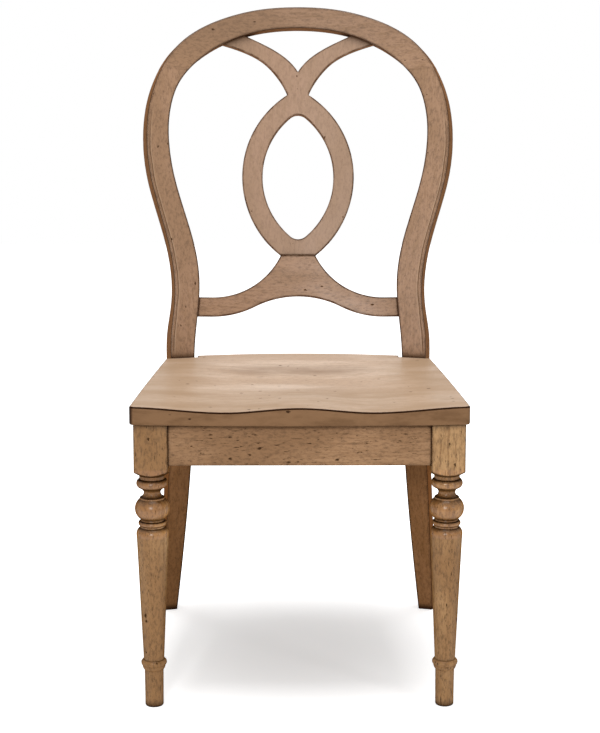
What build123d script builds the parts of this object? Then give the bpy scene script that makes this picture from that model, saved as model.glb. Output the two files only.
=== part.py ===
"""Wooden side chair: turned front legs, a saddled seat and a barrel-curved hoop back with a pierced splat.

Millimetres, +Z up, +X to the right as seen from the front, +Y to the back.
The origin is on the floor, under the middle of the chair's bounding box.
"""

from build123d import *
from math import asin, atan2, cos, pi, sin, sqrt, tan
import os

os.makedirs("parts", exist_ok=True)

# Overall sizes
overall_depth = 595.0
seat_height = 473.0  # the unscooped top of the seat
back_datum_height = 470.0  # the raked back is set out from this level
back_lean_share = 0.2027  # how far the back leans, as a share of its height
barrel_radius = 745.0  # plan curve of the back, hollow to the sitter
edge_round = 2.5

# Clearances
glue_gap = 0.1
seat_gap = 0.5
overrun = 5.0

# Seat
seat_thickness = 28.0
seat_front_half_width = 253.5
seat_rear_half_width = 226.0
seat_side_bow = 1.2
seat_front_bow = 10.5
seat_corner_overhang = 11.0  # the corners stand this far in front of the legs
seat_corner_round = 9.0
seat_rear_set = 15.0  # the rear edge lies this far behind the back's front face
seat_tongue_gap = 4.6  # open gap beside each post
scoop_depth = 7.0  # two hollows for the thighs, with a ridge between them
scoop_centre = 112.0
bowl_depth = 9.0  # one wide bowl in the middle
bowl_half_width = 205.0
seat_edge_round = 2.5
# lengths and places along the seat, as shares of its depth
scoop_length_share = 0.588
bowl_half_length_share = 0.3594
bowl_centre_share = 0.514

# Front legs
leg_square = 51.0
leg_spacing = 444.8  # centre to centre
leg_corner_ease = 1.2
# turned profile, radius and height of its points
foot_edge = 2.5
foot_radius = 14.0
foot_top = (14.4, 57.0)
ankle_low = (17.0, 61.0)
ankle_groove = (17.4, 64.2)
ankle_bead = (19.5, 68.6)
ankle_high = (15.5, 73.5)
taper_top = (24.3, 268.0)
cup_bulge = (23.6, 275.5)
cup_top = (18.8, 281.0)
small_bead_low = (18.8, 283.4)
small_bead = (21.4, 287.6)
small_bead_high = (18.2, 291.4)
ball_low = (17.6, 293.6)
ball = (26.4, 311.0)
ball_high = (19.0, 325.0)
cove_low = (18.6, 327.2)
cove_mid = (13.5, 331.6)
cove_neck = (12.8, 335.0)
cove_high = (15.2, 339.2)
torus_low = (20.4, 342.4)
torus = (23.9, 349.6)
torus_high = (19.3, 356.0)
shoulder_low = (19.3, 361.0)
shoulder_mid = (27.0, 365.6)
shoulder_high = (38.0, 371.5)

# Aprons
apron_height = 65.0
apron_thickness = 20.0
apron_recess = 3.5
apron_ease = 1.5
rear_apron_set = 7.5
side_apron_rear_x = 212.5

# Rear posts, from floor to crest joint
post_depth_seat = 42.0
foot_flare = 38.7
foot_splay = 73.0
foot_width = 25.5
foot_depth = 26.5
flare_height = 420.0
taper_height = 370.0
bend_power = 1.45
back_thickness = 30.0

# Hoop outline on the back's front face, in shares of its half width
hoop_half_width = 258.5
hoop_centre = 390.0  # height of the widest point above the seat
crest_joint_rise = 109.5  # the joint lies this far above the hoop's centre
# height above the seat as a share of hoop_centre, inner and outer edges as shares of the
# half width, thickness as a share of back_thickness
post_outline_shares = (
    (0.026, 0.686, 0.843, 1.400),
    (0.115, 0.677, 0.840, 1.330),
    (0.205, 0.663, 0.825, 1.170),
    (0.295, 0.655, 0.819, 1.050),
    (0.385, 0.661, 0.829, 1.000),
    (0.487, 0.688, 0.856, 1.000),
    (0.590, 0.731, 0.897, 1.000),
    (0.692, 0.779, 0.941, 1.000),
    (0.795, 0.822, 0.979, 1.000),
    (0.897, 0.850, 1.000, 1.000),
)
# turn about the hoop's centre as a share of a quarter turn, inner and outer radii as
# shares of the half width
crest_outline_shares = (
    (0.000, 0.861, 1.004),
    (0.111, 0.862, 1.002),
    (0.222, 0.860, 1.001),
    (0.333, 0.840, 0.999),
    (0.444, 0.812, 0.981),
    (0.556, 0.785, 0.948),
    (0.667, 0.759, 0.914),
    (0.778, 0.739, 0.888),
    (0.889, 0.725, 0.870),
    (1.000, 0.720, 0.863),
)
post_seat_inner_share = 0.688  # inner edge and width at the seat, of the half width
post_seat_width_share = 0.155
crest_joint_share = 0.818  # middle of the post at the joint, of the half width
post_top_station = 6  # the posts' loft runs up to this crest station before it is sawn off

# Back splat
splat_thickness = 14.0
splat_recess = 8.0
# the ring and its oval opening, as shares of the hoop's half width, drops from its centre
ring_drop_share = 0.2971
ring_half_width_share = 0.3768
ring_arc_share = 0.6708
oval_drop_share = 0.294
oval_half_width_share = 0.2398
oval_half_height_share = 0.424
oval_side_arc_share = 0.53
ring_foot_drop_share = 0.8279
# points of the right arm, from the hoop's centre, in the same shares
neck_low_share = 0.2631
arm_lower_shares = (
    (0.0700, 0.2631),
    (0.0948, 0.3172),
    (0.1501, 0.4004),
    (0.2286, 0.4820),
    (0.3605, 0.5551),
    (0.5455, 0.6112),
)
arm_upper_shares = (
    (0.4023, 0.6867),
    (0.3362, 0.6557),
    (0.1335, 0.5532),
    (0.0453, 0.4820),
    (0.0000, 0.4236),
)

# Lower back rail
rail_thickness = 22.0
rail_recess = 4.0
rail_low = 69.2
rail_end_height = 32.8
rail_arch = 36.0
rail_arch_half_width = 150.0
rail_sweep_half_width = 148.0
rail_tenon_length = 14.0
rail_tenon_height = 24.0
rail_tenon_thickness = 11.0

# Dowels and screws
dowel_diameter = 8.0
dowel_depth = 18.0
dowel_end_gap = 1.0
splat_dowel_diameter = 6.0
splat_dowel_depth = 13.0
splat_dowel_spacing = 30.0
crest_dowel_spacing = 16.0
corner_block_height = 26.0
corner_block_leg = 64.0
screw_wall = 16.0  # wood of a corner block under a screw's head
front_screw_x = 165.0
rear_screw_set = 27.8  # along the rear apron, from the post
side_screw_set = 39.0  # along the side apron, from the leg or the post
seat_screw_front = (185.0, 17.0)  # x, and distance behind the front legs
seat_screw_rear = (5.8, 12.8)  # distances inward from the posts, and before them
screw_shank = 4.0
screw_head = 8.0
screw_head_height = 2.6
screw_bite = 13.0
screw_pocket = 9.0
drive_width = 1.2
drive_depth = 1.2

# Derived places
rake = atan2(back_lean_share, 1)
leg_centre_x = leg_spacing / 2
leg_half = leg_square / 2
seat_underside = seat_height - seat_thickness
apron_bottom = seat_underside - apron_height
seat_front_y = -overall_depth / 2
leg_front_y = seat_front_y + seat_corner_overhang + seat_front_bow
leg_rear_y = leg_front_y + leg_square
crest_height = hoop_centre + hoop_half_width * crest_outline_shares[-1][2]
crest_joint = hoop_centre + crest_joint_rise
crest_joint_x = hoop_half_width * crest_joint_share
post_inner_seat = hoop_half_width * post_seat_inner_share
post_width_seat = hoop_half_width * post_seat_width_share
ring_centre = hoop_centre - hoop_half_width * ring_drop_share
ring_half_width = hoop_half_width * ring_half_width_share
ring_arc = hoop_half_width * ring_arc_share
oval_centre = hoop_centre - hoop_half_width * oval_drop_share
oval_half_width = hoop_half_width * oval_half_width_share
oval_half_height = hoop_half_width * oval_half_height_share
oval_side_arc = hoop_half_width * oval_side_arc_share
rail_top = hoop_centre - hoop_half_width * ring_foot_drop_share
# the crest's rear upper arris is the rearmost point of the chair
back_y = (
    overall_depth / 2
    - (back_thickness - edge_round) * cos(rake)
    - (crest_height - edge_round) * sin(rake)
    - edge_round
)
back_foot = Vector(0, back_y, back_datum_height)
back_plane = Plane(origin=back_foot, x_dir=(1, 0, 0), z_dir=(0, -cos(rake), sin(rake)))
barrel_plane = Plane(origin=back_foot, x_dir=(1, 0, 0), z_dir=(0, sin(rake), cos(rake)))
toe_in = asin((post_inner_seat + post_width_seat / 2) / barrel_radius)
seat_rear_y = back_y + seat_rear_set
seat_depth = seat_rear_y - seat_front_y
scoop_length = seat_depth * scoop_length_share
bowl_half_length = seat_depth * bowl_half_length_share
bowl_centre = seat_depth * bowl_centre_share  # behind the front edge


def barrel_setback(x, behind=0.0):
    """Distance behind the back's front face at the centre line, for a face so far behind it."""
    return sqrt((barrel_radius + behind) ** 2 - x**2) - barrel_radius


def back_point(x, height, behind=0.0):
    """A point on the barrel-curved back."""
    return barrel_plane.from_local_coords(Vector(x, barrel_setback(x, behind), height))


# front face of the posts at the seat rails, at their inner arris
post_front_y = back_y + barrel_setback(post_inner_seat)


def back_normal(x):
    """Direction from the front of the back to its rear at x."""
    turn = asin(x / barrel_radius)
    flat = Vector(sin(turn), cos(turn), 0)
    return barrel_plane.from_local_coords(flat) - barrel_plane.origin


def section_plane(inner, outer, rearward):
    """Plane across a member, with X from its inner to its outer arris and Y to its rear."""
    across = outer - inner
    return Plane(origin=inner, x_dir=across, z_dir=across.cross(rearward))


def leg_sections():
    """Level sections of the right rear leg, from the floor up to the seat rails."""
    across = Vector(cos(toe_in), -sin(toe_in), 0)
    rearward = Vector(sin(toe_in), cos(toe_in), 0)
    steps = 7
    sections = []
    for step in range(steps + 1):
        height = flare_height * step / steps
        bend = (1 - height / flare_height) ** bend_power
        slim = max(1 - height / taper_height, 0) ** 2
        width = post_width_seat + (foot_width - post_width_seat) * slim
        depth = post_depth_seat + (foot_depth - post_depth_seat) * slim
        inner = Vector(post_inner_seat + foot_flare * bend, post_front_y + foot_splay * bend, height)
        sections.append((section_plane(inner, inner + across * width, rearward), width, depth))
    return sections


def outline_section(inner, outer, depth):
    """Section of the back between two points of its outline, each given as x and height."""
    low = back_point(*inner)
    high = back_point(*outer)
    rearward = back_normal((inner[0] + outer[0]) / 2)
    return section_plane(low, high, rearward), (high - low).length, depth


def post_sections():
    """Sections of the right back post between the seat and the hoop's widest point."""
    sections = []
    for height_share, inner_share, outer_share, depth_share in post_outline_shares:
        height = hoop_centre * height_share
        inner = (hoop_half_width * inner_share, height)
        outer = (hoop_half_width * outer_share, height)
        sections.append(outline_section(inner, outer, back_thickness * depth_share))
    return sections


def crest_sections(side):
    """Sections of one side of the hoop's round top, from its widest point to the middle."""
    sections = []
    for turn_share, inner_share, outer_share in crest_outline_shares:
        turn = turn_share * pi / 2
        ends = []
        for radius_share in (inner_share, outer_share):
            radius = hoop_half_width * radius_share
            ends.append((side * radius * cos(turn), hoop_centre + radius * sin(turn)))
        sections.append(outline_section(ends[0], ends[1], back_thickness))
    return sections


def section_face(section):
    """One eased rectangular section of a loft."""
    plane, width, depth = section
    with BuildSketch(plane) as outline:
        Rectangle(width, depth, align=(Align.MIN, Align.MIN))
        fillet(outline.vertices(), edge_round)
    return outline.sketch.faces()[0]


def saddle_drop(x, forward):
    """How far the seat's top lies under the blank, at x and so far behind the front edge."""
    off = abs(x)
    if off < scoop_centre:
        phase = pi * off / scoop_centre
    else:
        phase = pi + pi * min((off - scoop_centre) / (seat_front_half_width - scoop_centre), 1)
    fade = (1 + cos(pi * min(max(forward, 0) / scoop_length, 1))) / 2
    scoop = scoop_depth * (1 - cos(phase)) / 2 * fade
    across = (1 + cos(pi * min(off / bowl_half_width, 1))) / 2
    along = (1 + cos(pi * min(abs(forward - bowl_centre) / bowl_half_length, 1))) / 2
    return scoop + bowl_depth * across * along


def dowel_pin(plane, diameter, depth):
    """A dowel standing as deep on both sides of the plane, along its normal, with eased ends."""
    with BuildPart() as pin:
        with BuildSketch(plane.offset(-depth)):
            Circle(diameter / 2)
        extrude(amount=2 * depth)
        chamfer(pin.edges().filter_by(GeomType.CIRCLE), diameter / 10)
    return pin.part


def dowel_hole(plane, diameter, depth):
    """The drilled hole for such a dowel, with its glue gap and end gaps."""
    with BuildPart() as hole:
        with BuildSketch(plane.offset(-depth - dowel_end_gap)):
            Circle(diameter / 2 + glue_gap)
        extrude(amount=2 * (depth + dowel_end_gap))
    return hole.part


def wood_screw(plane, length):
    """A cross-headed screw whose head seats on the plane and whose shank runs along its normal."""
    under_head = plane.offset(-screw_head_height)
    with BuildPart() as screw:
        with BuildSketch(under_head):
            Circle(screw_head / 2)
        extrude(amount=screw_head_height)
        rim = screw.edges().filter_by(GeomType.CIRCLE).sort_by(Axis(plane.origin, plane.z_dir))[0]
        fillet(rim, screw_head_height / 3)
        with BuildSketch(under_head):
            Rectangle(screw_head / 2, drive_width)
            Rectangle(drive_width, screw_head / 2)
        extrude(amount=drive_depth, mode=Mode.SUBTRACT)
        with BuildSketch(plane):
            Circle(screw_shank / 2)
        extrude(amount=length)
        tip = screw.edges().filter_by(GeomType.CIRCLE).sort_by(Axis(plane.origin, plane.z_dir))[-1]
        chamfer(tip, screw_shank / 3)
    return screw.part


def screw_hole(plane, length):
    """The pilot hole for such a screw's shank."""
    with BuildPart() as hole:
        with BuildSketch(plane):
            Circle(screw_shank / 2 + glue_gap)
        extrude(amount=length + dowel_end_gap)
    return hole.part


def screw_pocket_cut(plane):
    """The pocket that a screw's head sits in, open to the block's slanted face."""
    with BuildPart() as pocket:
        with BuildSketch(plane):
            Circle(screw_pocket / 2)
        extrude(amount=-corner_block_leg)
    return pocket.part


def seat_arris(edge):
    """Whether an edge runs round the seat board, along its top or its underside."""
    return edge.bounding_box().size.Z < seat_thickness - scoop_depth - bowl_depth


def long_edge(edge):
    """Whether an edge runs along a seat rail, not across it."""
    return edge.length > 2 * apron_thickness


def mirrored(pieces):
    """The pieces of the right side together with their twins on the left."""
    return pieces + [piece.mirror(Plane.YZ) for piece in pieces]


def side_apron_x(y, inset=0.0):
    """X of a line that lies so far inside the right side apron's outer face, at y."""
    return leg_outer_x - apron_recess - (y - leg_rear_y) * tan(side_turn) - inset / cos(side_turn)


def post_face_y(x):
    """Y of the front face of the right rear post at the seat rails."""
    return post_front_y - (x - post_inner_seat) * tan(toe_in)


# Places shared by the joints
leg_inner_x = leg_centre_x - leg_half
leg_outer_x = leg_centre_x + leg_half
leg_centre_y = leg_front_y + leg_half
apron_back_y = leg_front_y + apron_recess + apron_thickness
side_run = post_face_y(side_apron_rear_x) - leg_rear_y
side_turn = atan2(leg_outer_x - apron_recess - side_apron_rear_x, side_run)
rear_apron_y = post_front_y + rear_apron_set
rear_apron_half_length = post_inner_seat + post_width_seat / 3  # before its ends are scribed to the posts
side_along = Vector(-sin(side_turn), cos(side_turn), 0)
side_inward = Vector(-cos(side_turn), -sin(side_turn), 0)

# Dowel places, right side: the two of each joint, at shares of the apron's height
leg_dowel_height_shares = (0.3, 0.7)
rear_dowel_height_shares = (0.14, 0.5)
apron_dowel_planes = []
for share in leg_dowel_height_shares:
    height = apron_bottom + apron_height * share
    front = Vector(leg_inner_x, apron_back_y - apron_thickness / 2, height)
    apron_dowel_planes.append(Plane(origin=front, z_dir=(1, 0, 0)))
    side = Vector(side_apron_x(leg_rear_y, apron_thickness / 2), leg_rear_y, height)
    apron_dowel_planes.append(Plane(origin=side, z_dir=side_along))
    near_post = post_face_y(side_apron_x(post_front_y, apron_thickness / 2))
    side_rear = Vector(side_apron_x(near_post, apron_thickness / 2), near_post, height)
    apron_dowel_planes.append(Plane(origin=side_rear, z_dir=side_along))
for share in rear_dowel_height_shares:
    height = apron_bottom + apron_height * share
    middle_y = rear_apron_y + apron_thickness / 2
    inner_x = post_inner_seat + (middle_y - post_front_y) * tan(toe_in)
    apron_dowel_planes.append(Plane(origin=(inner_x, middle_y, height), z_dir=(1, 0, 0)))
apron_dowel_holes = [dowel_hole(plane, dowel_diameter, dowel_depth) for plane in apron_dowel_planes]

# Screw places, right side: through the corner blocks into the aprons, and up into the seat
block_middle = seat_underside - corner_block_height / 2
rear_screw_x = post_inner_seat - rear_screw_set
block_screw_planes = [
    Plane(origin=(front_screw_x, apron_back_y + screw_wall, block_middle), z_dir=(0, -1, 0)),
    Plane(origin=(rear_screw_x, rear_apron_y - screw_wall, block_middle), z_dir=(0, 1, 0)),
]
for y in (leg_rear_y + side_screw_set, post_front_y - side_screw_set):
    wall = Vector(side_apron_x(y, apron_thickness), y, block_middle)
    block_screw_planes.append(Plane(origin=wall + side_inward * screw_wall, z_dir=-side_inward))
block_bottom = seat_underside - corner_block_height
seat_screw_planes = [
    Plane(origin=(seat_screw_front[0], leg_rear_y + seat_screw_front[1], block_bottom)),
    Plane(origin=(post_inner_seat - seat_screw_rear[0], post_front_y - seat_screw_rear[1], block_bottom)),
]
block_screw_length = screw_wall + screw_bite
seat_screw_length = corner_block_height + screw_bite
screw_pockets = [screw_pocket_cut(plane) for plane in block_screw_planes]
block_screw_holes = [screw_hole(plane, block_screw_length) for plane in block_screw_planes]
seat_screw_holes = [screw_hole(plane, seat_screw_length) for plane in seat_screw_planes]

# The turned front legs: a round leg below a square block whose shoulder is turned
leg_axis = Axis((leg_centre_x, leg_centre_y, 0), (0, 0, 1))
leg_plane = Plane(origin=(leg_centre_x, leg_centre_y, 0), x_dir=(1, 0, 0), z_dir=(0, -1, 0))
with BuildPart() as front_leg_right:
    with BuildSketch(leg_plane):
        with BuildLine():
            Polyline((0, torus_high[1]), torus_high, shoulder_low)
            ThreePointArc(shoulder_low, shoulder_mid, shoulder_high)
            top_corner = (shoulder_high[0], seat_underside)
            Polyline(shoulder_high, top_corner, (0, seat_underside), (0, torus_high[1]))
        make_face()
    revolve(axis=leg_axis)
    with BuildSketch(Plane.XY.offset(cove_low[1])):
        with Locations((leg_centre_x, leg_centre_y)):
            RectangleRounded(leg_square, leg_square, leg_corner_ease)
    extrude(amount=seat_underside - cove_low[1], mode=Mode.INTERSECT)
    with BuildSketch(leg_plane):
        with BuildLine():
            Line((0, 0), (foot_radius - foot_edge, 0))
            RadiusArc((foot_radius - foot_edge, 0), (foot_radius, foot_edge), -foot_edge)
            Line((foot_radius, foot_edge), foot_top)
            ThreePointArc(foot_top, ankle_low, ankle_groove)
            ThreePointArc(ankle_groove, ankle_bead, ankle_high)
            Line(ankle_high, taper_top)
            ThreePointArc(taper_top, cup_bulge, cup_top)
            Line(cup_top, small_bead_low)
            ThreePointArc(small_bead_low, small_bead, small_bead_high)
            Line(small_bead_high, ball_low)
            ThreePointArc(ball_low, ball, ball_high)
            Line(ball_high, cove_low)
            Spline(cove_low, cove_mid, cove_neck, cove_high, torus_low)
            ThreePointArc(torus_low, torus, torus_high)
            Polyline(torus_high, (0, torus_high[1]), (0, 0))
        make_face()
    revolve(axis=leg_axis)
    add(apron_dowel_holes, mode=Mode.SUBTRACT)

with BuildPart() as front_leg_left:
    mirror(front_leg_right.part, about=Plane.YZ)

# The right rear post before its mortises are cut: leg and back post in one sawn piece
joint_plane = barrel_plane.offset(crest_joint)
with BuildPart() as post_blank:
    post_faces = leg_sections() + post_sections() + crest_sections(1)[:post_top_station]
    loft([section_face(section) for section in post_faces])
    split(bisect_by=joint_plane, keep=Keep.BOTTOM)

# Dowels between posts and crest, along the hoop's curve
crest_turn = atan2(crest_joint_rise, crest_joint_x)
crest_tangent = barrel_plane.z_dir * cos(crest_turn) - barrel_plane.x_dir * sin(crest_turn)
crest_dowel_planes = []
for side in (-1, 1):
    x = crest_joint_x + side * crest_dowel_spacing / 2
    origin = back_point(x, crest_joint, back_thickness / 2)
    crest_dowel_planes.append(Plane(origin=origin, z_dir=crest_tangent))
crest_dowel_holes = [dowel_hole(plane, dowel_diameter, dowel_depth) for plane in crest_dowel_planes]

# Stub tenons of the lower back rail, square to the posts' inner sides
rail_middle = rail_low + rail_end_height / 2
rail_end_x = hoop_half_width * post_outline_shares[2][1]
rail_across = back_normal(rail_end_x)
rail_end = back_point(rail_end_x, rail_middle) + rail_across * (rail_recess + rail_thickness / 2)
tenon_plane = Plane(origin=rail_end, x_dir=rail_across, z_dir=barrel_plane.z_dir.cross(rail_across) * -1)
with BuildPart() as tenon:
    with BuildSketch(tenon_plane.offset(-overrun)):
        Rectangle(rail_tenon_thickness, rail_tenon_height)
    extrude(amount=overrun + rail_tenon_length)
with BuildPart() as mortise_cut:
    with BuildSketch(tenon_plane.offset(-overrun)):
        Rectangle(rail_tenon_thickness + 2 * glue_gap, rail_tenon_height + 2 * glue_gap)
    extrude(amount=overrun + rail_tenon_length + dowel_end_gap)

with BuildPart() as rear_post_right:
    add(post_blank.part)
    add(apron_dowel_holes + crest_dowel_holes + [mortise_cut.part], mode=Mode.SUBTRACT)

with BuildPart() as rear_post_left:
    mirror(rear_post_right.part, about=Plane.YZ)


def hoop_point(shares, right=0.0, up=0.0):
    """A point on the back plane, from the hoop's centre in shares of its half width, then moved."""
    return (hoop_half_width * shares[0] + right, hoop_centre + hoop_half_width * shares[1] + up)


def arms_outline(gap=0.0):
    """Face of the splat's two spreading arms, grown by a gap."""
    with BuildSketch(back_plane) as outline:
        with BuildLine():
            low = hoop_point((0, neck_low_share))
            lower = [hoop_point(shares, gap, -gap) for shares in arm_lower_shares]
            lower[-1] = hoop_point(arm_lower_shares[-1], 2 * gap, 0)
            upper = [hoop_point(shares, -gap, gap) for shares in arm_upper_shares]
            upper[0] = hoop_point(arm_upper_shares[0], 0, 2 * gap)
            upper[-1] = hoop_point(arm_upper_shares[-1], 0, gap)
            Line(low, lower[0])
            Spline(*lower)
            Line(lower[-1], upper[0])
            Spline(*upper)
            Line(upper[-1], low)
        make_face()
        mirror(about=Plane.YZ)
    return outline.sketch


def splat_outline():
    """Face of the splat: a pointed ring, cut flat at its foot, under two spreading arms."""
    ring_set = ring_arc - ring_half_width
    with BuildSketch(back_plane) as outline:
        with Locations((-ring_set, ring_centre)):
            Circle(ring_arc)
        with Locations((ring_set, ring_centre)):
            Circle(ring_arc, mode=Mode.INTERSECT)
        with Locations((0, rail_top)):
            Rectangle(2 * ring_arc, ring_arc, align=(Align.CENTER, Align.MAX), mode=Mode.SUBTRACT)
    return outline.sketch + arms_outline()


def oval_outline():
    """Face of the pointed oval in the splat: two side arcs joined by small round tips."""
    flat = oval_side_arc - oval_half_width
    span = oval_side_arc**2 - flat**2 - oval_half_height**2
    tip = span / 2 / (oval_side_arc - oval_half_height)
    turn = asin((oval_half_height - tip) / (oval_side_arc - tip))
    join = Vector(oval_side_arc * cos(turn) - flat, oval_side_arc * sin(turn))
    with BuildSketch(back_plane) as outline:
        with BuildLine() as line:
            ThreePointArc((join.X, -join.Y), (oval_half_width, 0), (join.X, join.Y))
            ThreePointArc((join.X, join.Y), (0, oval_half_height), (-join.X, join.Y))
            mirror(about=Plane.XZ)
            mirror(line.edges()[0], about=Plane.YZ)
        make_face()
    return outline.sketch.moved(Location(back_plane.y_dir * oval_centre))


def barrel_slab(recess, thickness):
    """The curved board, so far behind the back's front face, that a rail or splat is sawn from."""
    with BuildPart() as slab:
        with BuildSketch(barrel_plane):
            with Locations((0, -barrel_radius)):
                Circle(barrel_radius + recess + thickness)
                Circle(barrel_radius + recess, mode=Mode.SUBTRACT)
        extrude(amount=crest_height)
    return slab.part


# Places of the splat's two dowels in the lower rail
splat_dowel_planes = []
for side in (-1, 1):
    origin = back_point(side * splat_dowel_spacing / 2, rail_top, splat_recess + splat_thickness / 2)
    splat_dowel_planes.append(Plane(origin=origin, z_dir=barrel_plane.z_dir))
splat_dowel_holes = [
    dowel_hole(plane, splat_dowel_diameter, splat_dowel_depth) for plane in splat_dowel_planes
]

# Back splat, housed in the crest at its arms and dowelled to the lower rail
with BuildPart() as back_splat:
    extrude(splat_outline(), amount=barrel_radius / 4, both=True)
    extrude(oval_outline(), amount=barrel_radius / 4, both=True, mode=Mode.SUBTRACT)
    add(barrel_slab(splat_recess, splat_thickness), mode=Mode.INTERSECT)
    add(splat_dowel_holes, mode=Mode.SUBTRACT)

with BuildPart() as arms_housing:
    extrude(arms_outline(glue_gap), amount=barrel_radius / 4, both=True)
    add(barrel_slab(splat_recess - glue_gap, splat_thickness + 2 * glue_gap), mode=Mode.INTERSECT)

# Crest: the hoop's round top, with a housing for the splat's arms
with BuildPart() as crest_rail:
    crest_faces = crest_sections(1) + crest_sections(-1)[-2::-1]
    loft([section_face(section) for section in crest_faces])
    split(bisect_by=joint_plane, keep=Keep.TOP)
    add(mirrored(crest_dowel_holes), mode=Mode.SUBTRACT)
    add(arms_housing.part, mode=Mode.SUBTRACT)

# Lower back rail: swept up to the splat above, arched below, tenoned into the posts
rail_half_length = rail_end_x + rail_tenon_length  # before its ends are scribed to the posts
rail_top_half = sqrt(ring_arc**2 - (ring_centre - rail_top) ** 2) - (ring_arc - ring_half_width)
rail_arch_middle = (rail_arch_half_width / 2, rail_low + rail_arch / 2)
with BuildPart() as lower_back_rail:
    with BuildSketch(back_plane):
        with BuildLine():
            Line((0, rail_top), (rail_top_half, rail_top))
            TangentArc(
                (rail_sweep_half_width, rail_low + rail_end_height),
                (rail_top_half, rail_top),
                tangent=(-1, 0),
            )
            Polyline(
                (rail_sweep_half_width, rail_low + rail_end_height),
                (rail_half_length, rail_low + rail_end_height),
                (rail_half_length, rail_low),
                (rail_arch_half_width, rail_low),
            )
            TangentArc((rail_arch_half_width, rail_low), rail_arch_middle, tangent=(-1, 0))
            TangentArc((0, rail_low + rail_arch), rail_arch_middle, tangent=(1, 0))
            Line((0, rail_low + rail_arch), (0, rail_top))
        make_face()
        mirror(about=Plane.YZ)
    extrude(amount=barrel_radius / 4, both=True)
    add(barrel_slab(rail_recess, rail_thickness), mode=Mode.INTERSECT)
    add(mirrored([post_blank.part]), mode=Mode.SUBTRACT)
    add(mirrored([tenon.part]))
    add(splat_dowel_holes, mode=Mode.SUBTRACT)

# Seat: a solid board with a bowed front, notched round the posts, its top saddled
seat_side_y = leg_front_y - seat_corner_overhang
seat_notch_y = post_face_y(seat_rear_half_width) - seat_gap
tongue_half_width = post_inner_seat - seat_tongue_gap
tongue_notch_y = post_face_y(tongue_half_width) - seat_gap
seat_rear_radius = barrel_radius + seat_rear_set
tongue_end_y = seat_rear_y - seat_rear_radius + sqrt(seat_rear_radius**2 - tongue_half_width**2)
side_middle_x = (seat_front_half_width + seat_rear_half_width) / 2 + seat_side_bow
side_middle_y = (seat_side_y + seat_notch_y) / 2
saddle_steps = 48
saddle_points = []
for row in range(saddle_steps + 1):
    y = seat_front_y - overrun + (seat_depth + 2 * overrun) * row / saddle_steps
    line = []
    for column in range(saddle_steps + 1):
        x = (seat_front_half_width + overrun) * (2 * column / saddle_steps - 1)
        line.append(Vector(x, y, seat_height - saddle_drop(x, y - seat_front_y)))
    saddle_points.append(line)

with BuildPart() as seat:
    with BuildSketch(Plane.XY.offset(seat_underside)) as plan:
        with BuildLine():
            ThreePointArc(
                (-seat_front_half_width, seat_side_y),
                (0, seat_front_y),
                (seat_front_half_width, seat_side_y),
            )
            for side in (-1, 1):
                ThreePointArc(
                    (side * seat_front_half_width, seat_side_y),
                    (side * side_middle_x, side_middle_y),
                    (side * seat_rear_half_width, seat_notch_y),
                )
                Polyline(
                    (side * seat_rear_half_width, seat_notch_y),
                    (side * tongue_half_width, tongue_notch_y),
                    (side * tongue_half_width, tongue_end_y),
                )
            ThreePointArc(
                (-tongue_half_width, tongue_end_y),
                (0, seat_rear_y),
                (tongue_half_width, tongue_end_y),
            )
        make_face()
        fillet(plan.vertices().group_by(Axis.Y)[0], seat_corner_round)
    extrude(amount=seat_thickness + overrun)
    saddle = Face.make_surface_from_array_of_points(saddle_points)
    extrude(saddle, amount=seat_thickness, dir=(0, 0, 1), mode=Mode.SUBTRACT)
    fillet(seat.edges().filter_by(seat_arris), seat_edge_round)
    add(mirrored(seat_screw_holes), mode=Mode.SUBTRACT)

# Seat rails
with BuildPart() as front_apron:
    with BuildSketch(Plane.XY.offset(apron_bottom)):
        with Locations((0, apron_back_y - apron_thickness / 2)):
            Rectangle(2 * leg_inner_x, apron_thickness)
    extrude(amount=apron_height)
    fillet(front_apron.edges().filter_by(Axis.X).group_by(Axis.Z)[0], apron_ease)
    add(mirrored(apron_dowel_holes + block_screw_holes), mode=Mode.SUBTRACT)

with BuildPart() as rear_apron:
    with BuildSketch(Plane.XY.offset(apron_bottom)):
        with Locations((0, rear_apron_y + apron_thickness / 2)):
            Rectangle(2 * rear_apron_half_length, apron_thickness)
    extrude(amount=apron_height)
    fillet(rear_apron.edges().filter_by(Axis.X).group_by(Axis.Z)[0], apron_ease)
    add(mirrored([post_blank.part] + apron_dowel_holes + block_screw_holes), mode=Mode.SUBTRACT)

side_apron_end_y = post_front_y + overrun
with BuildPart() as side_apron_right:
    with BuildSketch(Plane.XY.offset(apron_bottom)):
        with BuildLine():
            Polyline(
                (side_apron_x(leg_rear_y), leg_rear_y),
                (side_apron_x(side_apron_end_y), side_apron_end_y),
                (side_apron_x(side_apron_end_y, apron_thickness), side_apron_end_y),
                (side_apron_x(leg_rear_y, apron_thickness), leg_rear_y),
                close=True,
            )
        make_face()
    extrude(amount=apron_height)
    fillet(side_apron_right.edges().group_by(Axis.Z)[0].filter_by(long_edge), apron_ease)
    add([post_blank.part] + apron_dowel_holes + block_screw_holes, mode=Mode.SUBTRACT)

with BuildPart() as side_apron_left:
    mirror(side_apron_right.part, about=Plane.YZ)

# Corner blocks glued and screwed inside the seat rails
block_x = leg_inner_x - seat_gap
block_y = leg_rear_y + seat_gap
block_end_y = leg_rear_y + corner_block_leg
with BuildPart() as corner_block_front_right:
    with BuildSketch(Plane.XY.offset(block_bottom)):
        with BuildLine():
            Polyline(
                (leg_inner_x - corner_block_leg, apron_back_y),
                (block_x, apron_back_y),
                (block_x, block_y),
                (side_apron_x(block_y, apron_thickness), block_y),
                (side_apron_x(block_end_y, apron_thickness), block_end_y),
                close=True,
            )
        make_face()
    extrude(amount=corner_block_height)
    add(screw_pockets + block_screw_holes + seat_screw_holes, mode=Mode.SUBTRACT)

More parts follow.
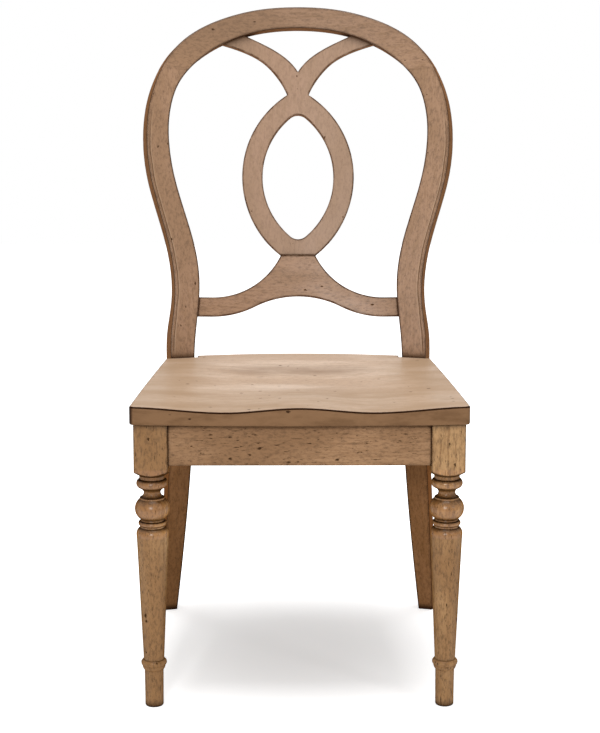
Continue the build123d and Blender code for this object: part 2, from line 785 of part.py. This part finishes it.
block_rear_y = post_front_y - corner_block_leg
with BuildPart() as corner_block_rear_right:
    with BuildSketch(Plane.XY.offset(block_bottom)):
        with BuildLine():
            Polyline(
                (post_inner_seat - corner_block_leg, rear_apron_y),
                (side_apron_x(rear_apron_y, apron_thickness), rear_apron_y),
                (side_apron_x(block_rear_y, apron_thickness), block_rear_y),
                close=True,
            )
        make_face()
    extrude(amount=corner_block_height)
    add([post_blank.part] + screw_pockets + block_screw_holes + seat_screw_holes, mode=Mode.SUBTRACT)

with BuildPart() as corner_block_front_left:
    mirror(corner_block_front_right.part, about=Plane.YZ)

with BuildPart() as corner_block_rear_left:
    mirror(corner_block_rear_right.part, about=Plane.YZ)

# Dowels and screws, each kind in one group
with BuildPart() as apron_dowels:
    add(mirrored([dowel_pin(plane, dowel_diameter, dowel_depth) for plane in apron_dowel_planes]))

with BuildPart() as crest_dowels:
    add(mirrored([dowel_pin(plane, dowel_diameter, dowel_depth) for plane in crest_dowel_planes]))

with BuildPart() as splat_dowels:
    add([dowel_pin(plane, splat_dowel_diameter, splat_dowel_depth) for plane in splat_dowel_planes])

with BuildPart() as corner_block_screws:
    add(mirrored([wood_screw(plane, block_screw_length) for plane in block_screw_planes]))

with BuildPart() as seat_screws:
    add(mirrored([wood_screw(plane, seat_screw_length) for plane in seat_screw_planes]))

pieces = {
    "seat": seat,
    "front_leg_left": front_leg_left,
    "front_leg_right": front_leg_right,
    "rear_post_left": rear_post_left,
    "rear_post_right": rear_post_right,
    "crest_rail": crest_rail,
    "back_splat": back_splat,
    "lower_back_rail": lower_back_rail,
    "front_apron": front_apron,
    "rear_apron": rear_apron,
    "side_apron_left": side_apron_left,
    "side_apron_right": side_apron_right,
    "corner_block_front_left": corner_block_front_left,
    "corner_block_front_right": corner_block_front_right,
    "corner_block_rear_left": corner_block_rear_left,
    "corner_block_rear_right": corner_block_rear_right,
    "apron_dowels": apron_dowels,
    "crest_dowels": crest_dowels,
    "splat_dowels": splat_dowels,
    "corner_block_screws": corner_block_screws,
    "seat_screws": seat_screws,
}
for name, piece in pieces.items():
    piece.part.label = name
    export_step(piece.part, "parts/" + name + ".step")
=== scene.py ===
"""Side chair: looks, light and camera, in metres in the CAD part's frame."""
import bpy
import math
from collections import namedtuple
from mathutils import Matrix, Vector
from mathutils.bvhtree import BVHTree


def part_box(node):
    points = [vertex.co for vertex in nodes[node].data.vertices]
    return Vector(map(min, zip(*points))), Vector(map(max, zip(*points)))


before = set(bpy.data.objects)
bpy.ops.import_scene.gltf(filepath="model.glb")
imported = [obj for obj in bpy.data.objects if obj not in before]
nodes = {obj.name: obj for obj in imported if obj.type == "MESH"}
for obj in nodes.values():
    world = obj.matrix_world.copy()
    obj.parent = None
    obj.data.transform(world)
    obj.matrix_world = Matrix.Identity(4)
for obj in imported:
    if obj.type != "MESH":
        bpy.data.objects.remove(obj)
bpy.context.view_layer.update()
scene = bpy.context.scene

MM = 0.001
X, Y, Z = range(3)
SEAT_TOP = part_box("seat")[1][Z]
POST_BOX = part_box("rear_post_right")
POST_TOP = POST_BOX[1][Z]

# Stains, linear colours: lit face, deeper patches, and the darkest tone: glaze in pores and patches, and
# painted shade in corners and hollows
HONEY = ((0.500, 0.292, 0.130), (0.290, 0.150, 0.058), (0.020, 0.007, 0.002))
BACK = ((0.360, 0.214, 0.128), (0.290, 0.168, 0.092), (0.036, 0.015, 0.007))
SPLAT = ((0.370, 0.232, 0.152), (0.320, 0.200, 0.124), (0.060, 0.028, 0.014))
# The seat's lit colour is lighter and pinker than its stain: painted light from above and painted sheen of
# the white surroundings
SEAT_STAIN_AND_SHEEN = ((0.610, 0.460, 0.345), (0.480, 0.340, 0.240), (0.025, 0.010, 0.005))
RAIL = ((0.415, 0.237, 0.122), (0.275, 0.148, 0.070), (0.020, 0.007, 0.003))
BARE = ((0.480, 0.330, 0.190), (0.400, 0.260, 0.140), (0.160, 0.090, 0.040))

# Single colours
SEAT_OUTER = (0.365, 0.245, 0.155)
# Painted shade behind the seat's bowl
SEAT_BAND_SHADE = (0.270, 0.175, 0.112)
# Painted shade in part: the seat's sides are darker than its top
SEAT_SIDE_STAIN_AND_SHADE = (0.265, 0.150, 0.078)
SEAT_BLOTCH = (0.085, 0.042, 0.018)
TOP_COLOUR_SHARE = 0.35  # of the top's tinted colour in that of the seat's sides
# Painted highlight beside the moulding's groove
GROOVE_EDGE_HIGHLIGHT = (0.480, 0.320, 0.200)
STEEL = (0.550, 0.540, 0.520)
FLOOR_WHITE = (0.920, 0.920, 0.920)

# Tints, which a colour is multiplied by
# Painted shade in part: the seat's sides, darker than its top
SEAT_SIDE_SHADE_TINT = (0.45, 0.34, 0.24)
# Painted shade on the narrow sides that turn away from the front
NARROW_SHADE_TINT = (0.95, 0.78, 0.62)
LOW_BACK_TINT = (0.62, 0.55, 0.46)
# Painted shade in part, below the seat
UNDER_SEAT_SHADE_TINT = (0.88, 0.73, 0.53)
# Painted shade on the crest's top
CREST_TOP_SHADE_TINT = (0.84, 0.84, 0.84)
TURNED_TINT = (1.00, 0.87, 0.70)

# Noise patterns: the stretch along the grain, the noise, and the levels where a mark starts and is full
Pattern = namedtuple("Pattern", "along scale detail rough start full distortion", defaults=[0.0])
CLOUD = Pattern(along=0.35, scale=11, detail=3, rough=0.55, start=0.38, full=0.62)
FIGURE = Pattern(along=0.08, scale=150, detail=6, rough=0.72, start=0.44, full=0.64, distortion=0.3)
FIBRE = Pattern(along=0.13, scale=600, detail=3, rough=0.65, start=0.625, full=0.675)
MOTTLE = Pattern(along=0.40, scale=260, detail=4, rough=0.75, start=0.42, full=0.70)
WEAR = Pattern(along=1.00, scale=60, detail=3, rough=0.60, start=0.30, full=0.60)
UNEVEN = Pattern(along=0.40, scale=22, detail=3, rough=0.60, start=0.35, full=0.65)
BLOTCH = Pattern(along=0.30, scale=45, detail=4, rough=0.65, start=0.40, full=0.66)

# Wormholes: a cell holds one at most, and the cells are shaken and stretched along the grain.
# Their sizes are shares of the radius given, and their rims shares of their own
WORM_CELL = 8 * MM
WORM_SHAKE = 3 * MM
WORM_ALONG = 0.55
WORM_SIZE_SHARES = (0.35, 1.35)
WORM_RIM_SHARES = (1.0, 0.55)
WORM_GLAZE = 0.85  # how much of the glaze's colour they take
WORM_ROUGH = 0.3  # what they add to the roughness
WORM_RADIUS = 1.6 * MM
LEG_WORM_RADIUS = 2.2 * MM
APRON_WORM_RADIUS = 2.3 * MM

# Relief: the depth of a wormhole, and the other marks as shares of it
WORM_DEPTH = 0.3 * MM
FIGURE_DEPTH_SHARE = 0.4
FLECK_DEPTH_SHARE = 0.25
GROOVE_DEPTH_SHARE = 1.5

# Painted shade in corners and a dark line along outer edges, by how open a point is: where it starts and is
# full
OPEN_SAMPLES = 8
CORNER_REACH = 16 * MM
CORNER_SHADE = (0.97, 0.45)
CORNER_SHADE_DULL = (0.95, 0.60)
EDGE_DARKENING = (0.92, 0.70)
EDGE_WIDTH = 3 * MM
HOOP_EDGE_WIDTH = 5 * MM
SPLAT_EDGE_WIDTH = 4 * MM
SEAM_FADE = (2.5 * MM, 6 * MM)  # above and below a joint, where the line on the edges comes back

# Shine, by how edge-on a face is seen, and how much rougher or smoother the clouds are
EDGE_ON = (0.20, 0.65)
CLOUD_LEVELS = (0.3, 0.7)
CLOUD_ROUGH = (-0.05, 0.09)

# Places where a tone starts and is full; the band is painted shade on the rear slope of the seat's bowl, its
# ends forward
SEAT_FRONT = (-90 * MM, -190 * MM)
SEAT_ENDS = (110 * MM, 200 * MM)
LEFT_CORNER = (-235 * MM, -265 * MM)
BAND_HALF_WIDTH = 165 * MM
BAND_MIDDLE = 25 * MM
BAND_DROOP = 25 * MM
BAND_FADE = (50 * MM, 5 * MM)
BAND_END_SHARES = (1.0, 0.3)
LOW_BACK = (SEAT_TOP + 130 * MM, SEAT_TOP + 20 * MM)
UNDER_SEAT = (SEAT_TOP + 10 * MM, SEAT_TOP - 60 * MM)
CREST_RISE = (POST_TOP, POST_TOP + 70 * MM)

# Heights between which something shows: where it starts, is full, starts to fade and ends
TURNED = (264 * MM, 270 * MM, 372 * MM, 376 * MM)
MOULDED = (SEAT_TOP, SEAT_TOP + 20 * MM, POST_TOP - 140 * MM, POST_TOP - 40 * MM)

# The moulding's groove, measured in from a post's outer edge, which is searched for on its mesh
GROOVE = (4.2 * MM, 5.6 * MM)
GROOVE_SOFT = 0.8 * MM
# Painted shade in the groove, and the reach and strength of the painted highlight inside it
GROOVE_SHADE = 0.6
HIGHLIGHT_REACH = 2.4 * MM
HIGHLIGHT_STRENGTH = 0.4
EDGE_POINTS = 20
EDGE_STEP = 0.5 * MM
EDGE_MARGIN = 10 * MM
FACE_TURN = -0.80  # a point lies on the front face where the normal's depth part is below this

# How a face turns, as a part of its normal: where a tone starts and is full, and for two fades and ends
SIDE_TURN = (0.55, 0.20)
LEFT_TURN = (-0.25, -0.70)
NARROW_TURN = (0.75, 0.45)
FRONT_TURN = (-0.30, -0.60)
LEDGE_TURN = (0.35, 0.90)
SEAT_RIM_TURN = (0.04, 0.22, 0.90, 0.975)
ARRIS_TURN = (0.35, 0.60, 0.75, 0.93)

# The camera, solved from the photograph: pixels of its frame, and angles in radians. It stands at the
# eye's height, as far as its reach before a pivot on the chair's middle plane, and a little aside
FRAME_WIDTH, FRAME_HEIGHT = 600, 733
CENTRE_U, CENTRE_V = 301.7, 279.62
FOCAL_PIXELS = 1693.88
YAW, PITCH, ROLL = 0.0076, 0.1336, 0.0005
PIVOT = -56 * MM
ASIDE = 4.502 * MM
REACH = 2686.29 * MM
EYE_HEIGHT = 992.49 * MM

# The floor's reach in metres, the distances from its middle between which its glow rises, and the glow
# at each, dimmer near the middle to paint a shadow under the chair; the world's strength as light on the
# object and as it is seen
FLOOR_REACH = 6.0
FLOOR_RISE = (0.05, 0.65)
FLOOR_SHADOW_GLOW = (0.31, 1.0)
WORLD_LIGHT, WORLD_SEEN = 0.33, 1.0

# Lamps, in metres and watts
LAMPS = {
    "overhead": {"place": (0, -0.4, 4.0), "width": 2.0, "height": 2.0, "watts": 118},
    "front": {"place": (-0.5, -3.0, 1.4), "width": 0.4, "height": 0.4, "watts": 30},
    "side": {"place": (1.8, -1.8, 1.3), "width": 0.3, "height": 0.6, "watts": 4},
}


def blank_tree(owner):
    """The emptied node tree of a material or world."""
    owner.use_nodes = True
    owner.node_tree.nodes.clear()
    return owner.node_tree


def put(tree, kind, feeds=(), **settings):
    """A new shader node; feeds pairs input names or numbers with values or sockets."""
    node = tree.nodes.new("ShaderNode" + kind)
    for key, value in settings.items():
        setattr(node, key, value)
    for key, feed in dict(feeds).items():
        if isinstance(feed, bpy.types.NodeSocket):
            tree.links.new(feed, node.inputs[key])
        else:
            node.inputs[key].default_value = feed
    return node


def math_node(tree, operation, *values):
    """The output of one sum."""
    return put(tree, "Math", enumerate(values), operation=operation).outputs[0]


def absolute(tree, value):
    """A value without its sign."""
    return math_node(tree, "ABSOLUTE", value)


def chain(tree, operation, values):
    """The values joined by one operation, from first to last."""
    result = values[0]
    for value in values[1:]:
        result = math_node(tree, operation, result, value)
    return result


def times(tree, *values):
    """The product of the values."""
    return chain(tree, "MULTIPLY", values)


def largest(tree, *values):
    """The largest of the values."""
    return chain(tree, "MAXIMUM", values)


def ramp(tree, value, start, full, least=0.0, most=1.0, smooth=True):
    """A value carried from one range to another, smooth or even, and kept between the ends."""
    kind = "SMOOTHSTEP" if smooth else "LINEAR"
    feeds = {"Value": value, "From Min": start, "From Max": full, "To Min": least, "To Max": most}
    return put(tree, "MapRange", feeds, interpolation_type=kind).outputs[0]


def hill(tree, value, start, full, fade, end, most=1.0):
    """Nothing up to the start, most where full, and nothing again from the end."""
    return times(tree, ramp(tree, value, start, full, most=most), ramp(tree, value, end, fade))


def mix(tree, factor, a, b, blend="MIX"):
    """Two colours mixed; a colour is a socket or three numbers."""
    a, b = [tone if isinstance(tone, bpy.types.NodeSocket) else (*tone, 1.0) for tone in (a, b)]
    return put(tree, "Mix", {0: factor, 6: a, 7: b}, data_type="RGBA", blend_type=blend).outputs[2]


def parts(tree, vector):
    """The three parts of a place or a direction."""
    return put(tree, "SeparateXYZ", {0: vector}).outputs


def normal_parts(tree):
    """The three parts of the surface's normal."""
    return parts(tree, put(tree, "NewGeometry").outputs["Normal"])


def stretched(tree, where, axis, along):
    """Coordinates that run slower along the grain."""
    scale = [1.0, 1.0, 1.0]
    scale[axis] = along
    return put(tree, "Mapping", {"Vector": where, "Scale": scale}).outputs[0]


def noise(tree, where, axis, pattern):
    """A pattern's noise, drawn out along the grain."""
    return put(tree, "TexNoise", {
        "Vector": stretched(tree, where, axis, pattern.along), "Scale": pattern.scale,
        "Detail": pattern.detail, "Roughness": pattern.rough, "Distortion": pattern.distortion,
    }).outputs[0]


def marks(tree, level, pattern, least=0.0, most=1.0):
    """How strong a pattern's marks are, by the level of its noise."""
    return ramp(tree, level, pattern.start, pattern.full, least, most)


def wormholes(tree, where, axis, share, radius):
    """Round spots of about the given radius, in a share of the cells."""
    where = stretched(tree, where, axis, WORM_ALONG)
    shift = put(tree, "TexNoise", {"Vector": where, "Scale": 1 / WORM_SHAKE}).outputs["Color"]
    shift = put(tree, "VectorMath", {0: shift, "Scale": WORM_SHAKE}, operation="SCALE").outputs[0]
    shaken = put(tree, "VectorMath", {0: where, 1: shift}, operation="ADD").outputs[0]
    cells = put(tree, "TexVoronoi", {"Vector": shaken, "Scale": 1 / WORM_CELL})
    chance = put(tree, "SeparateColor", {0: cells.outputs["Color"]}).outputs
    kept = math_node(tree, "LESS_THAN", chance[0], share)
    smallest, greatest = [size * radius / WORM_CELL for size in WORM_SIZE_SHARES]
    reach = ramp(tree, chance[1], 0, 1, smallest, greatest, smooth=False)
    inside = math_node(tree, "DIVIDE", cells.outputs["Distance"], reach)
    return times(tree, ramp(tree, inside, *WORM_RIM_SHARES), kept)


def edge_line(tree, where, axis, strength, width, seam):
    """A broken dark line along outer edges, where rays into the wood soon come out; faint at a seam."""
    kind = {"samples": OPEN_SAMPLES, "inside": True, "only_local": True}
    rim = ramp(tree, put(tree, "AmbientOcclusion", {"Distance": width}, **kind).outputs["AO"], *EDGE_DARKENING)
    broken = marks(tree, noise(tree, where, axis, WEAR), WEAR, least=0.45)
    line = times(tree, rim, broken, strength)
    if seam is None:
        return line
    off_seam = absolute(tree, math_node(tree, "SUBTRACT", parts(tree, where)[Z], seam))
    return times(tree, line, ramp(tree, off_seam, *SEAM_FADE, least=0.15))


def varnish(tree, colour, relief, roughness, dull, shine, grazing):
    """The varnished surface with its bump; it shines less where dull, and keeps a share seen edge-on."""
    bump = put(tree, "Bump", {"Height": relief, "Distance": WORM_DEPTH})
    facing = put(tree, "LayerWeight").outputs["Facing"]
    seen = ramp(tree, facing, *EDGE_ON, least=shine, most=shine * grazing)
    level = times(tree, seen, ramp(tree, dull, 0, 1, least=1.0, most=0.0))
    surface = put(tree, "BsdfPrincipled", {
        "Base Color": colour, "Roughness": roughness, "Normal": bump.outputs[0], "Specular IOR Level": level,
    })
    put(tree, "OutputMaterial", {0: surface.outputs[0]})


def no_extra(tree, where, colour, dark):
    """What an extra gives back: the colour, relief in depths of a wormhole, and how matt it is."""
    return colour, 0.0, 0.0


def wood(name, tones, axis, roughness=0.36, mottling=0.4, flecks=0.85, worm_share=0.09,
         worm_radius=WORM_RADIUS, edge=0.9, edge_width=EDGE_WIDTH, shine=0.3, grazing=0.0, seam=None,
         extra=no_extra):
    """Stained and glazed wood whose grain runs along one axis, with painted shade in its corners.

    Mottling, flecks and edge are the strengths of dark glaze in its patches and pores and of the dark line
    along its outer edges. Shine is the specular level seen face-on, grazing the share of it seen edge-on,
    and seam a joint's height.
    """
    material = bpy.data.materials.new(name)
    tree = blank_tree(material)
    lit, deep, dark = tones
    where = put(tree, "TexCoord").outputs["Object"]
    cloud = noise(tree, where, axis, CLOUD)
    figure = noise(tree, where, axis, FIGURE)
    fleck = marks(tree, noise(tree, where, axis, FIBRE), FIBRE, most=flecks)
    colour = mix(tree, marks(tree, cloud, CLOUD), lit, deep)
    colour = mix(tree, marks(tree, figure, FIGURE, most=0.9), colour, deep)
    colour = mix(tree, marks(tree, noise(tree, where, axis, MOTTLE), MOTTLE, most=mottling), colour, dark)
    colour = mix(tree, fleck, colour, dark)
    colour, carving, matt = extra(tree, where, colour, dark)

    worm = wormholes(tree, where, axis, worm_share, worm_radius)
    # Painted shade: the darkest tone laid in corners, under the seat and between parts, which also shine
    # less there
    corner = put(tree, "AmbientOcclusion", {"Distance": CORNER_REACH}, samples=OPEN_SAMPLES).outputs["AO"]
    line = edge_line(tree, where, axis, edge, edge_width, seam)
    for glaze in (times(tree, worm, WORM_GLAZE), ramp(tree, corner, *CORNER_SHADE, most=0.97), line):
        colour = mix(tree, glaze, colour, dark)

    relief = carving
    for mark, height in ((figure, FIGURE_DEPTH_SHARE), (worm, -1.0), (fleck, -FLECK_DEPTH_SHARE)):
        relief = math_node(tree, "MULTIPLY_ADD", mark, height, relief)
    rough = ramp(tree, cloud, *CLOUD_LEVELS, *[roughness + change for change in CLOUD_ROUGH])
    rough = math_node(tree, "MULTIPLY_ADD", worm, WORM_ROUGH, rough)
    dull = largest(tree, line, worm, ramp(tree, corner, *CORNER_SHADE_DULL), fleck, matt)
    varnish(tree, colour, relief, rough, dull, shine, grazing)
    return material


def bowl_shade_band(tree, place):
    """Painted shade on the rear slope of the seat's bowl."""
    wide = absolute(tree, math_node(tree, "DIVIDE", place[X], BAND_HALF_WIDTH))
    bent = math_node(tree, "MULTIPLY_ADD", times(tree, wide, wide), BAND_DROOP, place[Y])
    off_line = absolute(tree, math_node(tree, "SUBTRACT", bent, BAND_MIDDLE))
    return times(tree, ramp(tree, off_line, *BAND_FADE, most=0.95), ramp(tree, wide, *BAND_END_SHARES))


def seat_tone(tree, where, colour, dark):
    """The seat's top has painted shade behind the bowl and is darker towards its front and ends; its sides
    are stained darker, partly as painted shade, with more painted shade on the front's left end.
    """
    place = parts(tree, where)
    normal = normal_parts(tree)
    uneven = marks(tree, noise(tree, where, X, UNEVEN), UNEVEN, least=0.55)
    ends = ramp(tree, absolute(tree, place[X]), *SEAT_ENDS)
    outer = largest(tree, ends, ramp(tree, place[Y], *SEAT_FRONT))
    colour = mix(tree, times(tree, outer, uneven), colour, SEAT_OUTER)
    colour = mix(tree, times(tree, bowl_shade_band(tree, place), uneven), colour, SEAT_BAND_SHADE)

    side = ramp(tree, normal[Z], *SIDE_TURN)
    blotch = marks(tree, noise(tree, where, X, BLOTCH), BLOTCH, most=0.6)
    side_stain_and_shade = mix(tree, blotch, SEAT_SIDE_STAIN_AND_SHADE, SEAT_BLOTCH)
    side_stain_and_shade = mix(tree, TOP_COLOUR_SHARE, side_stain_and_shade, mix(tree, 1.0, colour, SEAT_SIDE_SHADE_TINT, "MULTIPLY"))
    colour = mix(tree, side, colour, side_stain_and_shade)
    # Painted shade: the left end of the front, which turns away from the lamps, takes the darkest tone
    left = times(tree, ramp(tree, normal[X], *LEFT_TURN), ramp(tree, place[Y], *LEFT_CORNER, most=0.9))
    colour = mix(tree, times(tree, side, left), colour, dark)
    rim = hill(tree, normal[Z], *SEAT_RIM_TURN)
    return mix(tree, rim, colour, dark), 0.0, largest(tree, rim, ramp(tree, side, 0, 1, most=0.8))


def outer_edge(heights):
    """How far from the middle plane the right post's front face ends, at each height."""
    mesh = nodes["rear_post_right"].data
    tree = BVHTree.FromPolygons([v.co for v in mesh.vertices], [p.vertices for p in mesh.polygons])
    before = POST_BOX[0][Y] - EDGE_MARGIN
    edge = []
    for z in heights:
        x = POST_BOX[1][X]
        normal = None
        while normal is None or normal.y > FACE_TURN:
            x -= EDGE_STEP
            normal = tree.ray_cast(Vector((x, before, z)), Vector((0, 1, 0)))[1]
        edge.append(x)
    return edge


def edge_curve(tree, height):
    """The outer edge of the posts at a point's height, on a curve through the edge found on the mesh."""
    shares = [(k + 0.5) / EDGE_POINTS for k in range(EDGE_POINTS)]
    edge = outer_edge([SEAT_TOP + (POST_TOP - SEAT_TOP) * share for share in shares])
    nearest, farthest = min(edge) - EDGE_MARGIN, max(edge) + EDGE_MARGIN
    curve = put(tree, "FloatCurve", {"Value": ramp(tree, height, SEAT_TOP, POST_TOP, smooth=False)})
    points = curve.mapping.curves[0].points
    for share, x in zip(shares, edge):
        points.new(share, (x - nearest) / (farthest - nearest))
    last = len(points) - 1
    for end, neighbour in ((0, 1), (last, last - 1)):
        points[end].location = (points[end].location[0], points[neighbour].location[1])
    curve.mapping.update()
    return ramp(tree, curve.outputs[0], 0, 1, nearest, farthest, smooth=False)


def rounded(tree, colour, dark):
    """Round arrises take a painted line of shade, and the narrow sides are painted a little deeper than the
    faces, as shade.
    """
    facing = absolute(tree, normal_parts(tree)[Y])
    colour = mix(tree, ramp(tree, facing, *NARROW_TURN), colour, NARROW_SHADE_TINT, "MULTIPLY")
    return mix(tree, hill(tree, facing, *ARRIS_TURN, most=0.95), colour, dark)


def moulding(tree, depth_in, shown, colour, dark):
    """A groove along the face, with painted shade in it and a painted highlight along its inner side; a
    narrow bead is left outside it.
    """
    start, end = GROOVE
    soft = GROOVE_SOFT
    groove = times(tree, hill(tree, depth_in, start - soft, start + soft, end - soft, end + soft), shown)
    edge_highlight = times(tree, hill(tree, depth_in, end, end + soft, end + soft, end + HIGHLIGHT_REACH), shown)
    colour = mix(tree, times(tree, edge_highlight, HIGHLIGHT_STRENGTH), colour, GROOVE_EDGE_HIGHLIGHT)
    colour = mix(tree, times(tree, groove, GROOVE_SHADE), colour, dark)
    return colour, times(tree, groove, -GROOVE_DEPTH_SHARE), groove


def post_tone(tree, where, colour, dark):
    """The posts have their moulding above the seat, are a little darker just above it, and are browner below
    it, partly as painted shade, where they also shine less.
    """
    place = parts(tree, where)
    height = place[Z]
    below_seat_shade = ramp(tree, height, *UNDER_SEAT)
    colour = mix(tree, ramp(tree, height, *LOW_BACK, most=0.15), colour, LOW_BACK_TINT, "MULTIPLY")
    colour = mix(tree, below_seat_shade, colour, UNDER_SEAT_SHADE_TINT, "MULTIPLY")
    depth_in = math_node(tree, "SUBTRACT", edge_curve(tree, height), absolute(tree, place[X]))
    shown = times(tree, ramp(tree, normal_parts(tree)[Y], *FRONT_TURN), hill(tree, height, *MOULDED))
    colour, carving, matt = moulding(tree, depth_in, shown, rounded(tree, colour, dark), dark)
    return colour, carving, largest(tree, matt, below_seat_shade)


def crest_tone(tree, where, colour, dark):
    """The crest is painted darker from its joints to its top, as shade against the overhead lamp's stronger
    light there.
    """
    rise = ramp(tree, parts(tree, where)[Z], *CREST_RISE)
    return rounded(tree, mix(tree, rise, colour, CREST_TOP_SHADE_TINT, "MULTIPLY"), dark), 0.0, 0.0


def side_tone(tree, where, colour, dark):
    """The narrow sides of the splat and the lower rail are painted deeper, as shade."""
    return rounded(tree, colour, dark), 0.0, 0.0


def turned_tone(tree, where, colour, dark):
    """Dark glaze and painted shade gather in the turned part of the legs, most where it faces up or down."""
    turned = hill(tree, parts(tree, where)[Z], *TURNED)
    colour = mix(tree, turned, colour, TURNED_TINT, "MULTIPLY")
    ledge_glaze_and_shade = times(tree, turned, ramp(tree, absolute(tree, normal_parts(tree)[Z]), *LEDGE_TURN, most=0.75))
    matt = largest(tree, ledge_glaze_and_shade, ramp(tree, turned, 0, 1, least=0.6, most=0.25))
    return mix(tree, ledge_glaze_and_shade, colour, dark), 0.0, matt


def steel():
    """The screws' metal."""
    material = bpy.data.materials.new("screw_steel")
    material.use_nodes = True
    surface = material.node_tree.nodes["Principled BSDF"]
    for name, value in {"Base Color": (*STEEL, 1.0), "Roughness": 0.35, "Metallic": 1.0}.items():
        surface.inputs[name].default_value = value
    return material


def dress(material, *names):
    """Gives the CAD nodes their material."""
    for name in names:
        mesh = nodes[name].data
        mesh.materials.clear()
        mesh.materials.append(material)


def dress_seat():
    """The seat's board, with its grain across."""
    dress(wood("seat_wood", SEAT_STAIN_AND_SHEEN, X, mottling=0.2, flecks=0.25, worm_share=0.1, edge=0.5, grazing=0.12,
               extra=seat_tone), "seat")


def dress_legs():
    """The front legs, glossier than the rest, with their grain upright."""
    dress(wood("leg_wood", HONEY, Z, roughness=0.24, mottling=0.5, worm_share=0.12,
               worm_radius=LEG_WORM_RADIUS, shine=0.5, extra=turned_tone),
          "front_leg_left", "front_leg_right")


def dress_back():
    """The posts and the crest, whose edge lines fade at their joint, the lower rail and the splat."""
    joint = POST_TOP
    dress(wood("post_wood", BACK, Z, flecks=0.35, edge_width=HOOP_EDGE_WIDTH, seam=joint, extra=post_tone),
          "rear_post_left", "rear_post_right")
    dress(wood("crest_wood", BACK, X, flecks=0.3, edge_width=HOOP_EDGE_WIDTH, seam=joint, extra=crest_tone),
          "crest_rail")
    dress(wood("back_rail_wood", BACK, X, flecks=0.4, edge_width=SPLAT_EDGE_WIDTH, extra=side_tone),
          "lower_back_rail")
    dress(wood("splat_wood", SPLAT, Z, mottling=0.25, flecks=0.2, edge_width=SPLAT_EDGE_WIDTH,
               extra=side_tone), "back_splat")


def dress_aprons():
    """The seat rails, with their grain along each."""
    dress(wood("apron_wood", RAIL, X, flecks=1.0, worm_share=0.13, worm_radius=APRON_WORM_RADIUS,
               shine=0.15), "front_apron", "rear_apron")
    dress(wood("side_apron_wood", RAIL, Y, shine=0.15), "side_apron_left", "side_apron_right")


def dress_joinery():
    """Bare corner blocks and dowels, and the steel screws."""
    blocks = [name for name in nodes if name.startswith("corner_block") and "screws" not in name]
    dowels = [name for name in nodes if name.endswith("dowels")]
    for name, pieces in (("block_wood", blocks), ("dowel_wood", dowels)):
        dress(wood(name, BARE, X, roughness=0.6, worm_share=0.0, edge=0.1), *pieces)
    dress(steel(), "corner_block_screws", "seat_screws")


def camera():
    """The photograph's camera: a long lens, shifted down, a metre above the floor."""
    data = bpy.data.cameras.new("camera")
    cam = bpy.data.objects.new("camera", data)
    scene.collection.objects.link(cam)
    stand = Matrix.Rotation(-YAW, 4, "Z") @ Matrix.Translation((ASIDE, -REACH, EYE_HEIGHT))
    tilt = Matrix.Rotation(math.pi / 2 - PITCH, 4, "X") @ Matrix.Rotation(ROLL, 4, "Z")
    cam.matrix_world = Matrix.Translation((0, PIVOT, 0)) @ stand @ tilt
    data.lens = FOCAL_PIXELS / FRAME_HEIGHT * data.sensor_width
    data.shift_x = (FRAME_WIDTH / 2 - CENTRE_U) / FRAME_HEIGHT
    data.shift_y = (CENTRE_V - FRAME_HEIGHT / 2) / FRAME_HEIGHT
    scene.camera = cam


def shown_rays(tree):
    """1 for rays from the camera, or seen in gloss or through glass."""
    path = put(tree, "LightPath").outputs
    return largest(tree, *[path[f"Is {kind} Ray"] for kind in ("Camera", "Glossy", "Transmission")])


def white_floor():
    """A white floor that keeps a soft shadow, with painted shadow under the chair where its glow is dimmer.
    """
    corners = [(FLOOR_REACH * x, FLOOR_REACH * y, 0) for x, y in ((-1, -1), (1, -1), (1, 1), (-1, 1))]
    mesh = bpy.data.meshes.new("floor")
    mesh.from_pydata(corners, [], [range(len(corners))])
    floor = bpy.data.objects.new("floor", mesh)
    scene.collection.objects.link(floor)
    material = bpy.data.materials.new("floor_white")
    tree = blank_tree(material)
    diffuse = put(tree, "BsdfDiffuse", {0: (*FLOOR_WHITE, 1.0)})
    where = put(tree, "TexCoord").outputs["Object"]
    away = put(tree, "VectorMath", {0: where}, operation="LENGTH").outputs["Value"]
    level = ramp(tree, away, *FLOOR_RISE, *FLOOR_SHADOW_GLOW)
    glow = put(tree, "Emission", {1: times(tree, shown_rays(tree), level)})
    both = put(tree, "AddShader", {0: diffuse.outputs[0], 1: glow.outputs[0]})
    put(tree, "OutputMaterial", {0: both.outputs[0]})
    mesh.materials.append(material)


def surround():
    """An even white world, seen brighter than it lights."""
    world = bpy.data.worlds.new("world")
    scene.world = world
    tree = blank_tree(world)
    strength = ramp(tree, shown_rays(tree), 0, 1, WORLD_LIGHT, WORLD_SEEN, smooth=False)
    background = put(tree, "Background", {0: (1, 1, 1, 1), 1: strength})
    put(tree, "OutputWorld", {0: background.outputs[0]})


def softbox(name, place, width, height, watts):
    """A rectangular lamp that faces the middle of the seat."""
    data = bpy.data.lights.new(name, "AREA")
    data.shape = "RECTANGLE"
    data.size, data.size_y = width, height
    data.energy = watts
    lamp = bpy.data.objects.new(name, data)
    lamp.location = place
    lamp.rotation_euler = (Vector((0, 0, SEAT_TOP)) - Vector(place)).to_track_quat("-Z", "Y").to_euler()
    scene.collection.objects.link(lamp)


dress_seat()
dress_legs()
dress_back()
dress_aprons()
dress_joinery()
camera()
white_floor()
surround()
for lamp_name, lamp in LAMPS.items():
    softbox(lamp_name, **lamp)
scene.view_settings.view_transform = "Standard"
